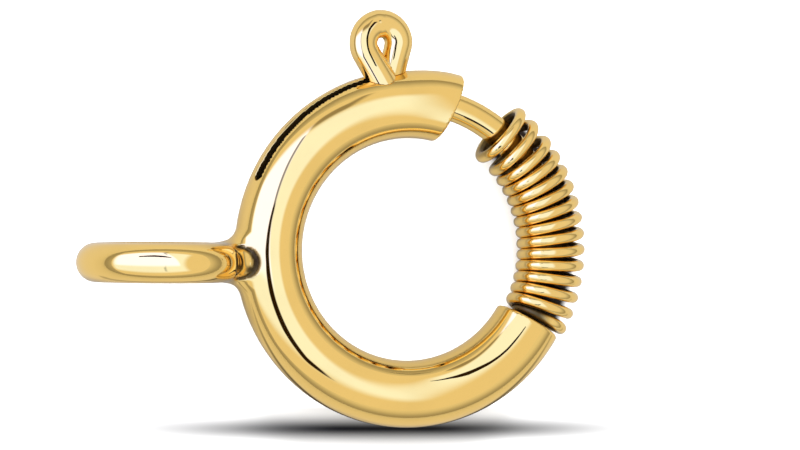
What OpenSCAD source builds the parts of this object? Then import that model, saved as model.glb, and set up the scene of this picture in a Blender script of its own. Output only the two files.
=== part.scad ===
// Spring ring clasp for a chain: a hollow ring with a gate, a curved bolt that
// slides round inside it, a coiled guard on the gate's far side, a thumb loop
// on the bolt and a fastening ring soldered across the back.
// Millimetres. The clasp lies on a flat surface, on its fastening ring and its
// guard, with +Z up. The origin is on that surface, below the middle of the box.
// Angles are round the main ring, anticlockwise from the guard's middle side.

/* [Main ring] */
// Outside diameter of the main ring
ring_od = 18; // [16:0.5:24]
// Wall of the hollow tube
tube_wall = 0.675; // [0.5:0.025:0.9]
// Angle of the tube's upper end, where the bolt comes out
gate_top_a = 73.9; // [70:0.5:76]
// Turn of the tube's upper end away from square
gate_skew = 8; // [0:1:10]
// Angle of the tube's lower end, where the guard is seated
gate_low_a = -29.7; // [-34:0.1:-26]
// Thickness of the stop inside the tube, behind the return spring
stop_w = 1; // [0.6:0.1:1.6]
// Angle of the stop
stop_a = 192; // [190:1:196]

/* [Bolt] */
// Diameter of the curved bolt
bolt_d = 1.45; // [1.2:0.05:1.7]
// Room round the bolt in the tube's bore, on each side
bolt_room = 0.3; // [0.2:0.02:0.4]
// Running clearance between sliding faces
fit = 0.05; // [0.03:0.01:0.08]
// Angle that the closed bolt reaches into the guard
bolt_reach = 29.5; // [20:0.5:34]
// Angle by which the open bolt stands back in the tube
bolt_sunk = 5; // [2:0.5:6]
// Length of the bolt behind the shank of the thumb loop
bolt_tail = 1; // [0.7:0.1:1.4]

/* [Guard] */
// Wire of the coiled guard
guard_wire = 0.53; // [0.4:0.01:0.6]
// Room between the bolt and the inside of the guard
guard_room = 0.49; // [0.3:0.01:0.6]
// Gap between the turns on the inner side of the curve
guard_gap = 0.055; // [0.03:0.005:0.1]
// Angle of the first turn, on its outer side
guard_top_a = 51.5; // [48:0.5:53]
// Gap between the tube's lower rim and the last turn
rim_gap = 0.12; // [0.08:0.01:0.2]
// Turns that sit inside the tube's lower end
seat_turns = 1.6; // [1:0.1:2]

/* [Thumb loop] */
// Angle of the thumb loop when the bolt is closed
loop_a = 98.2; // [95:0.1:101]
// Wire of the thumb loop
loop_wire = 1.33; // [1:0.01:1.5]
// Width of the hole in the thumb loop
loop_hole = 0.55; // [0.4:0.01:1]
// Height of the thumb loop over the tube
loop_h = 3.18; // [3:0.02:4]
// Turn of the thumb loop out of the clasp's plane
loop_turn = 23; // [0:1:40]
// Lean of the thumb loop's head away from the gate
loop_lean = 5; // [0:1:8]
// Distance of the thumb loop in front of the clasp's plane
loop_front = 0.45; // [0:0.01:0.6]
// Half the distance between the loop's two feet
foot_half = 0.5; // [0.4:0.01:0.6]
// Thickness of the saddle under the feet
saddle_t = 0.35; // [0.25:0.01:0.5]
// Shank that passes through the slot into the bolt
shank_d = 0.5; // [0.4:0.01:0.6]
// Room beside the shank in its slot
slot_room = 0.07; // [0.05:0.01:0.12]
// Slope of the slot and the shank towards the front
slot_slope = 22; // [0:1:26]

/* [Fastening ring] */
// Wire of the fastening ring
eye_wire = 2; // [1.6:0.05:2.2]
// Hole in the fastening ring
eye_hole = 4.32; // [4:0.05:5.5]
// Depth by which the fastening ring is let into the tube
eye_bite = 0.11; // [0.08:0.01:0.2]
// Distance of the fastening ring below the main ring's middle
eye_drop = 0.65; // [0:0.05:1]
// Radius of the solder fillet between the two rings
fillet_r = 1.15; // [0.8:0.05:1.4]
// Half the depth of the solder fillet where it meets the tube
fillet_depth = 1.42; // [1:0.02:1.5]

/* [Return spring] */
// Wire of the return spring
spring_wire = 0.26; // [0.2:0.01:0.3]

/* [Hidden] */

gold = "#e9c66b";
pale_gold = "#f0d68a";

bore_d = bolt_d + 2 * bolt_room;
tube_d = bore_d + 2 * tube_wall;
ring_r = ring_od / 2 - tube_d / 2;
// The bolt runs along the outer wall of the bore.
bolt_r = ring_r + bore_d / 2 - fit - bolt_d / 2;

guard_r = bolt_d / 2 + guard_room + guard_wire / 2;
guard_low_a = gate_low_a + degrees_at(guard_wire / 2 + rim_gap, bolt_r);
guard_span = guard_top_a - guard_low_a;
guard_pitch_min = degrees_at(guard_wire + guard_gap, bolt_r - guard_r);
guard_turns = floor(guard_span / guard_pitch_min);
guard_pitch = guard_span / guard_turns;
// The wire starts on the inner side of the first turn.
guard_start = -180;
guard_end = 360 * guard_turns;
// Turn over which the wire shrinks from the guard's width to the bore's.
shrink_turn = 150;
seat_r = bore_d / 2 - fit - guard_wire / 2;
seat_pitch = degrees_at(guard_wire + guard_gap, ring_r - seat_r);

bolt_tip_a = guard_top_a - bolt_reach;
travel = gate_top_a + bolt_sunk - bolt_tip_a;
bolt_tail_a = loop_a + degrees_at(shank_d / 2 + bolt_tail, bolt_r);

slot_w = shank_d + 2 * slot_room;
shank_len = tube_d / 2 + saddle_t;

loop_r = (loop_hole + loop_wire) / 2;
loop_y = ring_od / 2 + loop_h - loop_wire / 2 - loop_r;
// The feet start inside the tube's outline and are cut off above it.
foot_y = ring_r + tube_d / 4;
head = [-(loop_y - foot_y) * sin(loop_lean), foot_y + (loop_y - foot_y) * cos(loop_lean)];

eye_r = (eye_hole + eye_wire) / 2;
eye_x = -(ring_od / 2 - eye_bite + eye_wire / 2 + eye_r);
eye_out = eye_r + eye_wire / 2;

spring_r = bore_d / 2 - 2 * fit - spring_wire / 2;
spring_from_a = bolt_tail_a + degrees_at(spring_wire / 2 + fit, ring_r - spring_r);
spring_to_a = stop_a - degrees_at(spring_wire / 2 + fit, ring_r - spring_r);
spring_shut = spring_to_a - spring_from_a - travel;
spring_turns = floor(spring_shut / degrees_at(1.05 * spring_wire, ring_r - spring_r));

// How the clasp lies: on the fastening ring at one end and the guard at the other.
guard_out = guard_r + guard_wire / 2;
lie_tilt = asin((eye_out - guard_out) / (bolt_r - eye_x));
lie_z = bolt_r * sin(lie_tilt) + guard_out;
loop_reach = norm([loop_r * sin(loop_a), loop_r * cos(loop_a) * cos(loop_turn)]);
box_x = [eye_x * cos(lie_tilt) - eye_out, bolt_r * cos(lie_tilt) + guard_out];
head_top = head[1] * sin(loop_a) - head[0] * cos(loop_a) * cos(loop_turn);
box_y = [-ring_od / 2, head_top + loop_reach + loop_wire / 2];
lie_at = [-(box_x[0] + box_x[1]) / 2, -(box_y[0] + box_y[1]) / 2, lie_z];

// Angle that a length takes up at a radius
function degrees_at(length, radius) = length / radius * 180 / PI;
function unit(v) = v / norm(v);
function smooth(t) = let (s = min(1, max(0, t))) s * s * (3 - 2 * s);
// Point at a radius and an angle round the main ring, and at a height
function polar(r, a, z) = [r * cos(a), r * sin(a), z];
// Point on a coil that follows the main ring's curve
function on_coil(middle, a, r, turn) =
    polar(middle, a, 0) + r * (cos(turn) * polar(1, a, 0) + [0, 0, sin(turn)]);

// Guard wire: even turns, then a shrinking half turn, then the turns in the bore
function guard_angle(t) =
    t < guard_end ? guard_top_a - guard_pitch * t / 360
    : guard_low_a - seat_pitch * max(0, t - guard_end - shrink_turn) / 360;
function guard_shrink(t) = smooth((t - guard_end) / shrink_turn);
function guard_point(t) =
    let (k = guard_shrink(t))
    on_coil(bolt_r + (ring_r - bolt_r) * k, guard_angle(t), guard_r + (seat_r - guard_r) * k, t);

function spring_angle(t) = spring_from_a + (spring_to_a - spring_from_a) * t / 360 / spring_turns;
function spring_point(t) = on_coil(ring_r, spring_angle(t), spring_r, t);

// Ring of points round a path at a point, in a plane square to the path
function section(at, along, side, r, sides) =
    let (t = unit(along), b = unit(cross(t, side)), n = cross(b, t))
    [for (j = [0 : sides - 1]) at + r * (cos(360 * j / sides) * n + sin(360 * j / sides) * b)];

// Faces of a skin over sections of equally many points
function skin_faces(rows, sides) = concat(
    [[for (j = [0 : sides - 1]) j]],
    [for (i = [0 : rows - 2]) for (j = [0 : sides - 1]) let (k = (j + 1) % sides)
        each [[i * sides + j, (i + 1) * sides + j, (i + 1) * sides + k],
              [i * sides + j, (i + 1) * sides + k, i * sides + k]]],
    [[for (j = [sides - 1 : -1 : 0]) (rows - 1) * sides + j]]);

module skin(sections) {
    sides = len(sections[0]);
    polyhedron([for (s = sections) each s], skin_faces(len(sections), sides));
}

// Puts the clasp down as it lies by itself
module lying() {
    translate(lie_at) rotate([0, lie_tilt, 0]) children();
}

// Part of a ring about the main axis, between two angles, from a profile
module arc(from_a, to_a) {
    rotate([0, 0, from_a]) rotate_extrude(angle = to_a - from_a, $fn = 180) children();
}

module round_profile(middle, d) {
    translate([middle, 0]) rotate(90) circle(d = d, $fn = 64);
}

// Profile of the slot, through the wall and sloped towards the front
module slot_profile() {
    translate([bolt_r, 0]) rotate(slot_slope) translate([0, -slot_w / 2]) square([tube_d, slot_w]);
}

// Places something along the shank's line at an angle round the ring
module shank_line(a) {
    rotate([0, 0, a]) translate([bolt_r, 0, 0]) rotate([0, 90 - slot_slope, 0]) children();
}

// The slot's round ends are a little narrower than the slot.
module slot() {
    end_d = shank_d + slot_room;
    end_a = degrees_at((slot_w - end_d) / 2, bolt_r);
    arc(loop_a - end_a, loop_a + travel + end_a) slot_profile();
    for (a = [loop_a - end_a, loop_a + travel + end_a])
        shank_line(a) cylinder(h = tube_d, d = end_d, $fn = 48);
}

// The tube and its bores run past the gate's ends by these angles before they're cut.
tube_over = 12;
bore_over = 4;

// Cuts the tube's upper end off along a slightly skewed plane
module gate_cut() {
    rotate([0, 0, gate_top_a]) translate([ring_r, 0, 0]) rotate([0, 0, -gate_skew])
        translate([-tube_d, -tube_d, -tube_d]) cube([2 * tube_d, tube_d, 2 * tube_d]);
}

module main_tube() {
    difference() {
        arc(gate_top_a - tube_over, 360 + gate_low_a) round_profile(ring_r, tube_d);
        gate_cut();
    }
}

module bores() {
    low_a = stop_a + degrees_at(stop_w, ring_r);
    arc(gate_top_a - tube_over - bore_over, stop_a) round_profile(ring_r, bore_d);
    arc(low_a, 360 + gate_low_a + bore_over) round_profile(ring_r, bore_d);
}

module fastening_ring() {
    translate([eye_x, -eye_drop, 0]) rotate([90, 0, 0])
        rotate_extrude($fn = 120) round_profile(eye_r, eye_wire);
}

// Solder fillet: it widens from the fastening ring's wire to the tube's round side.
// Its last section is flat and lies inside the tube.
module solder_fillet() {
    steps = 9;
    sides = 24;
    flare_end = 0.95;
    wire_r = 0.98 * eye_wire / 2;
    start_x = -(ring_od / 2 - eye_bite + fillet_r);
    function widen(t) = fillet_r * (1 - sqrt(1 - t * t));
    function round_side(y) = ring_od / 2 - sqrt(ring_od * ring_od / 4 - y * y);
    skin([for (i = [0 : steps]) let (t = min(1, i / (steps - 1)) * flare_end)
        [for (j = [0 : sides - 1])
            let (q = 360 * j / sides, y = -eye_drop + (wire_r + widen(t)) * cos(q))
            [i == steps ? -ring_r : start_x + (fillet_r + round_side(y)) * t, y,
             (wire_r + (fillet_depth - wire_r) * t) * sin(q)]]]);
}

module clasp_body() {
    color(gold) lying() difference() {
        union() {
            main_tube();
            fastening_ring();
            solder_fillet();
        }
        bores();
        slot();
    }
}

module guard_coil() {
    step = 22.5;
    sides = 8;
    last = guard_end + shrink_turn + 360 * seat_turns;
    count = floor((last - guard_start) / step);
    color(pale_gold) lying()
        skin([for (i = [0 : count]) let (t = guard_start + step * i)
            section(guard_point(t), guard_point(t + 1) - guard_point(t - 1),
                on_coil(0, guard_angle(t), 1, t), guard_wire / 2, sides)]);
}

module bolt() {
    color(gold) lying() difference() {
        union() {
            arc(bolt_tip_a, bolt_tail_a) round_profile(bolt_r, bolt_d);
            translate(polar(bolt_r, bolt_tip_a, 0)) sphere(d = bolt_d, $fn = 64);
        }
        shank_line(loop_a) cylinder(h = bolt_d, d = shank_d + fit, $fn = 48);
    }
}

// Direction and length of a leg from its foot to where it touches the round head
function leg(foot, side) =
    let (away = norm(head - foot))
    [atan2(head[1] - foot[1], head[0] - foot[0]) + side * asin(loop_r / away),
     sqrt(away * away - loop_r * loop_r)];
function along_leg(foot, way, t) = foot + t * way[1] * [cos(way[0]), sin(way[0])];

// Centre line of the thumb loop in its own plane: a foot, a round head, a foot
loop_steps = 6;
head_steps = 24;
function loop_line() =
    let (feet = [[-foot_half, foot_y], [foot_half, foot_y]],
         left = leg(feet[0], 1),
         right = leg(feet[1], -1),
         from_a = left[0] + 90,
         to_a = right[0] - 90)
    concat(
        [for (i = [0 : loop_steps - 1]) along_leg(feet[0], left, i / loop_steps)],
        [for (i = [0 : head_steps]) let (q = from_a + (to_a - from_a) * i / head_steps)
            head + loop_r * [cos(q), sin(q)]],
        [for (i = [loop_steps - 1 : -1 : 0]) along_leg(feet[1], right, i / loop_steps)]);

// The wire is made in two halves. The second one starts inside the first one's end.
module loop_wire_form() {
    sides = 16;
    inner = 0.9;
    line = loop_line();
    last = len(line) - 1;
    middle = last / 2;
    first_half = [for (i = [0 : middle]) i];
    second_half = [middle - 2, for (i = [middle + 1 : last]) i];
    for (half = [first_half, second_half])
        rotate([0, 0, loop_a]) translate([0, 0, loop_front]) rotate([loop_turn, 0, 0])
            skin([for (i = half)
                let (p = line[i], d = line[min(last, i + 1)] - line[max(0, i - 1)],
                     r = loop_wire / 2 * (i == middle - 2 && half == second_half ? inner : 1))
                section([p[1], -p[0], 0], [d[1], -d[0], 0], [0, 0, 1], r, sides)]);
}

// Saddle under the feet, which rides over the tube
module saddle() {
    half_a = degrees_at(foot_half, ring_od / 2);
    arc(loop_a - half_a, loop_a + half_a) intersection() {
        difference() {
            round_profile(ring_r, tube_d + 2 * (fit + saddle_t));
            round_profile(ring_r, tube_d + 2 * fit);
        }
        translate([bolt_r, 0]) rotate(slot_slope) translate([0, -loop_wire / 2]) square([tube_d, loop_wire]);
    }
}

module thumb_loop() {
    clear_a = 30;
    color(pale_gold) lying() union() {
        difference() {
            union() {
                loop_wire_form();
                saddle();
            }
            arc(loop_a - clear_a, loop_a + clear_a) round_profile(ring_r, tube_d + 2 * fit);
        }
        shank_line(loop_a) cylinder(h = shank_len, d = shank_d, $fn = 48);
    }
}

module return_spring() {
    step = 36;
    sides = 6;
    count = 360 * spring_turns / step;
    color(pale_gold) lying()
        skin([for (i = [0 : count]) let (t = step * i)
            section(spring_point(t), spring_point(t + 1) - spring_point(t - 1),
                on_coil(0, spring_angle(t), 1, t), spring_wire / 2, sides)]);
}

clasp_body();
guard_coil();
bolt();
thumb_loop();
return_spring();
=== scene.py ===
import math

import bpy
import numpy as np
from mathutils import Matrix, Vector


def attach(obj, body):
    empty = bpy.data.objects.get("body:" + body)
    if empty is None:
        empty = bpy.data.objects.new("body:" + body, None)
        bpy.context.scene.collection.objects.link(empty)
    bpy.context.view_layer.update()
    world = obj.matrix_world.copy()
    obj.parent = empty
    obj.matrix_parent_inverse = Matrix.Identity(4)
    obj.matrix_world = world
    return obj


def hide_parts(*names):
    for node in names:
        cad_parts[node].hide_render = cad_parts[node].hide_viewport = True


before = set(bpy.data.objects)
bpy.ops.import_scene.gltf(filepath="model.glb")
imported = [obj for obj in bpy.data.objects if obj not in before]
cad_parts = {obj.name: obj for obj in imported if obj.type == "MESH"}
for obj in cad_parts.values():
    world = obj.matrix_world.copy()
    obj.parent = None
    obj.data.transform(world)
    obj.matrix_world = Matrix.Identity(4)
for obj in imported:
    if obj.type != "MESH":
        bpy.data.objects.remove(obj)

bl_info = {
    "name": "Spring Ring Clasp",
    "version": (1, 0, 0),
    "blender": (4, 5, 0),
    "location": "View3D > Sidebar > Clasp",
    "description": "Builds a polished gold spring ring clasp and the white table it lies on",
    "category": "Add Mesh",
}

MM = 0.001


def length(name, description, default_mm):
    """A size that is kept in metres and given in millimetres."""
    return bpy.props.FloatProperty(
        name=name, description=description, default=default_mm * MM, min=0.0, precision=5, unit="LENGTH"
    )


def turn(name, description, degrees):
    """An angle that is kept in radians and given in degrees."""
    return bpy.props.FloatProperty(
        name=name, description=description, default=math.radians(degrees), precision=3, subtype="ANGLE"
    )


def colour(name, description, rgb):
    return bpy.props.FloatVectorProperty(
        name=name, description=description, default=rgb, min=0.0, max=1.0, size=3, subtype="COLOR"
    )


def amount(name, description, default):
    return bpy.props.FloatProperty(
        name=name, description=description, default=default, min=0.0, max=1.0, precision=3
    )


class ClaspSizes(bpy.types.PropertyGroup):
    ring_od: length("Ring Diameter", "Outside diameter of the main ring", 18.0)
    tube_d: length("Tube Diameter", "Diameter of the hollow tube", 3.4)
    bore_d: length("Bore Diameter", "Diameter of the tube's bore", 2.05)
    gate_top: turn("Upper Gate Angle", "Angle of the tube's upper end", 73.9)
    gate_skew: turn("Gate Skew", "Turn of the upper end away from square", 8.0)
    gate_low: turn("Lower Gate Angle", "Angle of the tube's lower end", -29.7)
    stop_angle: turn("Stop Angle", "Angle of the stop inside the tube", 192.0)
    stop_w: length("Stop Width", "Thickness of the stop inside the tube", 1.0)
    bolt_d: length("Bolt Diameter", "Diameter of the curved bolt", 1.45)
    bolt_r: length("Bolt Path", "Radius of the bolt's path round the ring", 7.55)
    bolt_tip: turn("Bolt Tip Angle", "Angle of the closed bolt's tip", 22.0)
    bolt_tail: turn("Bolt Tail Angle", "Angle of the closed bolt's tail", 107.686)
    travel: turn("Bolt Travel", "Angle that the bolt slides through", 56.9)
    guard_wire: length("Guard Wire", "Thickness of the coiled guard's wire", 0.56)
    guard_r: length("Guard Radius", "Radius of the guard's turns", 1.457)
    guard_slip: turn("Guard Slip", "Turn of the guard's first coil down the bolt", 1.8)
    guard_gap: turn("Guard Gap", "Widening of the guard's first gap", 1.1)
    guard_out: length("Guard Reach", "Radius of the guard's outside that the clasp lies on", 1.745)
    guard_top: turn("Guard Top Angle", "Angle of the guard's first turn", 51.5)
    guard_low: turn("Guard Low Angle", "Angle of the guard's last free turn", -26.777)
    guard_turns: bpy.props.IntProperty(
        name="Guard Turns", description="Free turns of the guard", default=14, min=4, max=40
    )
    seat_r: length("Seat Radius", "Radius of the guard's turns inside the tube", 0.71)
    seat_turns: bpy.props.FloatProperty(
        name="Seat Turns", description="Turns inside the tube", default=1.6, min=0.5, max=3.0
    )
    loop_angle: turn("Thumb Loop Angle", "Angle of the thumb loop when the bolt is closed", 98.2)
    loop_wire: length("Thumb Loop Wire", "Thickness of the thumb loop's wire", 1.43)
    loop_r: length("Thumb Loop Radius", "Radius of the thumb loop's round head", 0.97)
    loop_y: length("Thumb Loop Height", "Distance of the upright thumb loop's middle from the ring's", 10.52)
    loop_top: length("Thumb Loop Top", "Distance of the thumb loop's top from the ring's middle", 12.03354)
    loop_turn: turn("Thumb Loop Turn", "Turn of the thumb loop out of the clasp's plane", 8.0)
    loop_lean: turn("Thumb Loop Lean", "Lean of the thumb loop's head away from the gate", 2.0)
    loop_front: length("Thumb Loop Offset", "Distance of the thumb loop in front of the clasp's plane", 0.45)
    foot_half: length("Foot Spread", "Half the distance between the thumb loop's feet", 0.13)
    shank_d: length("Shank Diameter", "Diameter of the shank in the slot", 0.42)
    slot_w: length("Slot Width", "Width of the slot that the shank slides in", 0.5)
    slot_slope: turn("Slot Slope", "Slope of the slot towards the front", 25.0)
    eye_wire: length("Fastening Wire", "Thickness of the fastening ring's wire", 2.0)
    eye_r: length("Fastening Radius", "Radius of the fastening ring's middle line", 3.16)
    eye_bite: length("Fastening Bite", "Depth of the fastening ring in the tube", 0.11)
    eye_drop: length("Fastening Drop", "Distance of the fastening ring below the middle", 0.65)
    fillet: length("Solder Fillet", "Radius of the soldered joint", 1.15)
    spring_wire: length("Spring Wire", "Thickness of the return spring's wire", 0.26)
    spring_r: length("Spring Radius", "Radius of the return spring's turns", 0.795)


class ClaspFinish(bpy.types.PropertyGroup):
    gold: colour("Gold", "Colour of the polished body and bolt", (1.0, 0.68, 0.21))
    wire_gold: colour("Wire Gold", "Colour of the guard and the thumb loop", (1.0, 0.69, 0.23))
    spring_gold: colour("Spring Gold", "Colour of the return spring", (0.66, 0.47, 0.22))
    # Painted shade: this near-black colour stands for dull unpolished gold and for the shade in slots, bores,
    # the solder's crease, under the thumb loop's feet and between the guard's turns.
    dull_and_shade_colour: colour("Tarnish", "Colour of the dull gold in slots and bores", (0.022, 0.010, 0.004))
    polish: amount("Polish Roughness", "Roughness of the polished gold", 0.035)
    marks: amount("Polishing Marks", "Strength of the fine polishing marks", 0.25)
    table: colour("Table", "Colour of the white table", (0.93, 0.93, 0.93))


class Lying:
    """Puts the clasp's own plane, in millimetres, down on the table, in metres."""

    def __init__(self, sizes):
        eye_x = -(sizes.ring_od / 2 - sizes.eye_bite + sizes.eye_wire / 2 + sizes.eye_r)
        eye_out = sizes.eye_r + sizes.eye_wire / 2
        tilt = math.asin((eye_out - sizes.guard_out) / (sizes.bolt_r - eye_x))
        low_x = eye_x * math.cos(tilt) - eye_out
        high_x = sizes.bolt_r * math.cos(tilt) + sizes.guard_out
        at = Vector((-(low_x + high_x) / 2, (sizes.ring_od / 2 - sizes.loop_top) / 2,
                     sizes.bolt_r * math.sin(tilt) + sizes.guard_out))
        self.matrix = Matrix.Translation(at) @ Matrix.Rotation(tilt, 4, "Y")

    def points(self, p):
        m = np.array(self.matrix)
        return p * MM @ m[:3, :3].T + m[:3, 3]

    def directions(self, n):
        return n @ np.array(self.matrix)[:3, :3].T


def smooth(t):
    """0 below 0, 1 above 1 and a soft step between them."""
    t = np.clip(t, 0.0, 1.0)
    return t * t * (3 - 2 * t)


def turned(x, y, angle):
    """How far a point is along and beside a line that stands at an angle."""
    c, s = math.cos(angle), math.sin(angle)
    return x * c + y * s, y * c - x * s


def cut(a, b, r):
    """Common part of two solids, given as distances, with its edge rounded to radius r."""
    return np.minimum(np.maximum(a, b), -r) + np.hypot(np.maximum(a + r, 0), np.maximum(b + r, 0))


def join(a, b, r):
    """Two solids joined with a hollow fillet of radius r."""
    return -cut(-a, -b, r)


# Small forms that only the photo's view calls for: lengths in millimetres, angles in degrees.
FLARE, FLARE_START, FLARE_SPAN = 0.2, 94.0, 22.0
CREASE_DEPTH = 0.08
UPPER_EDGE, LOWER_EDGE, BORE_EDGE, SLOT_EDGE = 0.1, 0.14, 0.08, 0.05
SOLDER_X, SOLDER_HALF_X, SOLDER_HALF_Y = -8.55, 0.96, 0.80
PIT_X, PIT_Y = -7.87, -1.05
FEET_APART, FEET_BACK, FOOT_GAP, FOOT_EDGE = 0.22, 0.12, 0.012, 0.02
LEG_FILLET, SHANK_SPARE = 0.03, 0.2
# The direction that points right in the photo, in the clasp's own x and z.
PHOTO_RIGHT = (0.958, 0.2865)


class ClaspForm:
    """Distances, in millimetres, to the clasp's solid pieces in its own plane."""

    def __init__(self, sizes):
        mm = {key: getattr(sizes, key) / MM for key in (
            "ring_od", "tube_d", "bore_d", "stop_w", "bolt_r", "loop_wire", "loop_r", "loop_y", "loop_front",
            "foot_half", "shank_d", "slot_w", "eye_wire", "eye_r", "eye_bite", "eye_drop", "fillet")}
        self.__dict__.update(mm)
        self.sizes = sizes
        self.ring_r = self.ring_od / 2 - self.tube_d / 2
        self.eye_x = -(self.ring_od / 2 - self.eye_bite + self.eye_wire / 2 + self.eye_r)
        self.foot_y = self.ring_od / 2 - self.tube_d / 4
        self.head = (-(self.loop_y - self.foot_y) * math.sin(sizes.loop_lean),
                     self.foot_y + (self.loop_y - self.foot_y) * math.cos(sizes.loop_lean))

    def tube(self, x, y, z):
        return np.hypot(np.hypot(x, y) - self.ring_r, z) - self.tube_d / 2

    def flare(self, x, y):
        """Widening of the tube's outer side towards its upper end."""
        before = smooth((np.radians(FLARE_START) - np.arctan2(y, x)) / np.radians(FLARE_SPAN))
        outer = smooth((np.hypot(x, y) - self.ring_r) / self.tube_d * 2)
        return FLARE * before * outer * (y > 0)

    def crease(self, x, y, z):
        """1 along the edge of the solder on the tube's front, fading to 0 beside it; it cuts a shallow groove
        there and is where body_shade paints shade.
        """
        across = PHOTO_RIGHT[0] * x + PHOTO_RIGHT[1] * z
        round_edge = np.hypot((y + self.eye_drop) / SOLDER_HALF_Y, (across - SOLDER_X) / SOLDER_HALF_X) - 1
        width = 0.08 + 0.1 * smooth((across + 8.3) / 0.7)
        edge = np.exp(-(0.85 * round_edge / width) ** 2) * smooth((across + 8.75) / 0.3)
        # A dark spot below the solder: a slight dent that body_shade also paints with shade.
        pit = np.exp(-((across - PIT_X) ** 2 + (y - PIT_Y) ** 2) / 0.06)
        return np.maximum(edge, 0.8 * pit) * (z > 0)

    def bore(self, x, y, z):
        open_bore = np.hypot(np.hypot(x, y) - self.ring_r, z) - self.bore_d / 2
        along, beside = turned(x, y, self.sizes.stop_angle + self.stop_w / 2 / self.ring_r)
        stopped = np.maximum(open_bore, self.stop_w / 2 - np.abs(beside))
        return np.where(along > 0, stopped, open_bore)

    def slot(self, x, y, z):
        radius = np.hypot(x, y)
        out, across = turned(radius - self.bolt_r, z, self.sizes.slot_slope)
        angle = np.mod(np.arctan2(y, x), 2 * math.pi) - self.sizes.loop_angle - self.sizes.travel / 2
        past = np.maximum(np.abs(angle) - self.sizes.travel / 2, 0) * radius
        return np.maximum(np.hypot(past, across) - self.slot_w / 2, -out)

    def gate(self, x, y):
        """Distances beyond the tube's two cut ends; both are below zero in the gate."""
        top, low = self.sizes.gate_top, self.sizes.gate_low
        return [turned(x - self.ring_r * math.cos(end), y - self.ring_r * math.sin(end), out)[0]
                for end, out in ((top, top - self.sizes.gate_skew + math.pi / 2), (low, low - math.pi / 2))]

    def body(self, x, y, z):
        eye = np.hypot(np.hypot(x - self.eye_x, z) - self.eye_r, y + self.eye_drop) - self.eye_wire / 2
        metal = join(self.tube(x, y, z) - self.flare(x, y), eye, self.fillet)
        metal += CREASE_DEPTH * self.crease(x, y, z)
        a, b = self.gate(x, y)
        metal = cut(metal, -np.maximum(a, b), np.where(a > b, UPPER_EDGE, LOWER_EDGE))
        metal = cut(metal, -self.bore(x, y, z), BORE_EDGE)
        return cut(metal, -self.slot(x, y, z), SLOT_EDGE)

    def body_shade(self, x, y, z):
        """Mask of dull gold and painted shade: 1 in the bore, the slot and along the solder's edge, 0 on the
        outside.
        """
        a, b = self.gate(x, y)
        deep = smooth(-self.tube(x, y, z) / 0.2) * smooth((np.maximum(a, b) - 0.15) / 0.3)
        bored = smooth(1 - self.bore(x, y, z) / 0.12)
        # Painted shade along the solder's crease and in the dark spot below it.
        return np.maximum(np.maximum(deep, bored), smooth(1.7 * self.crease(x, y, z)))

    def half_loop(self, p, q, sign):
        """Distance, in the loop's plane, to one leg and its half of the round head."""
        foot, (hx, hy), r = -sign * self.foot_half, self.head, self.loop_r
        middle = math.pi / 2 + self.sizes.loop_lean
        away = math.hypot(hx - foot, hy - self.foot_y)
        way = math.atan2(hy - self.foot_y, hx - foot) + sign * math.asin(r / away)
        along, beside = turned(p - foot, q - self.foot_y, way)
        leg = np.hypot(along - np.clip(along, 0, math.sqrt(away * away - r * r)), beside)
        extent = sign * (way - middle) + math.pi / 2
        round_head = np.mod(np.arctan2(q - hy, p - hx) - middle + math.pi, 2 * math.pi) - math.pi
        angle = middle + sign * np.clip(sign * round_head, 0, extent)
        return np.minimum(leg, np.hypot(p - hx - r * np.cos(angle), q - hy - r * np.sin(angle)))

    def loop(self, x, y, z):
        """Bent wire with its two feet side by side on the tube, and the shank below them."""
        up, side = turned(x, y, self.sizes.loop_angle)
        left, front = turned(side, z - self.loop_front, self.sizes.loop_turn)
        down = smooth((self.head[1] - up) / (self.head[1] - self.foot_y - 0.3))
        halves = [np.hypot(self.half_loop(-left, up, sign), front + (FEET_BACK - FEET_APART * sign) * down)
                  - self.loop_wire / 2 for sign in (1.0, -1.0)]
        wire = cut(join(*halves, LEG_FILLET), FOOT_GAP - self.tube(x, y, z), FOOT_EDGE)
        out, beside = turned(up - self.bolt_r, z, self.sizes.slot_slope)
        shank = np.hypot(side, beside) - self.shank_d / 2
        shank = np.maximum(shank, np.abs(out - self.tube_d / 4) - self.tube_d / 4 - SHANK_SPARE)
        return np.minimum(wire, shank)

    def loop_shade(self, x, y, z):
        """Mask of dull gold and painted shade: 1 under the feet and on the shank, 0 on the wire."""
        return smooth(-self.tube(x, y, z) / 0.05)


def sample(distance, low, high, step, layers=16):
    """Distances on a grid of points, worked out a few layers at a time."""
    axes = [np.arange(a, b + step, step) for a, b in zip(low, high)]
    value = np.empty([len(a) for a in axes], dtype=np.float32)
    for i in range(0, len(axes[0]), layers):
        grid = np.meshgrid(axes[0][i:i + layers], axes[1], axes[2], indexing="ij")
        value[i:i + layers] = distance(*grid)
    return value


def crossed_cells(value):
    """Cells of the grid that the surface passes through, and its middle place in each, counted in steps."""
    inside = value < 0
    size = value.shape
    count = np.zeros([n - 1 for n in size], dtype=np.int8)
    corners = [(i, j, k) for i in (0, 1) for j in (0, 1) for k in (0, 1)]
    for i, j, k in corners:
        count += inside[i:size[0] - 1 + i, j:size[1] - 1 + j, k:size[2] - 1 + k]
    cell = np.argwhere((count > 0) & (count < len(corners)))
    at = np.zeros((len(cell), 3))
    hits = np.zeros(len(cell))
    for a in corners:
        for axis in range(3):
            if a[axis]:
                continue
            b = list(a)
            b[axis] = 1
            va = value[tuple((cell + a).T)].astype(float)
            vb = value[tuple((cell + b).T)].astype(float)
            cross = (va < 0) != (vb < 0)
            p = np.array(a, dtype=float)[None, :].repeat(len(cell), 0)
            p[:, axis] += np.where(cross, va / np.where(cross, va - vb, 1.0), 0.0)
            at[cross] += p[cross]
            hits += cross
    return cell, cell + at / hits[:, None]


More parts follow.
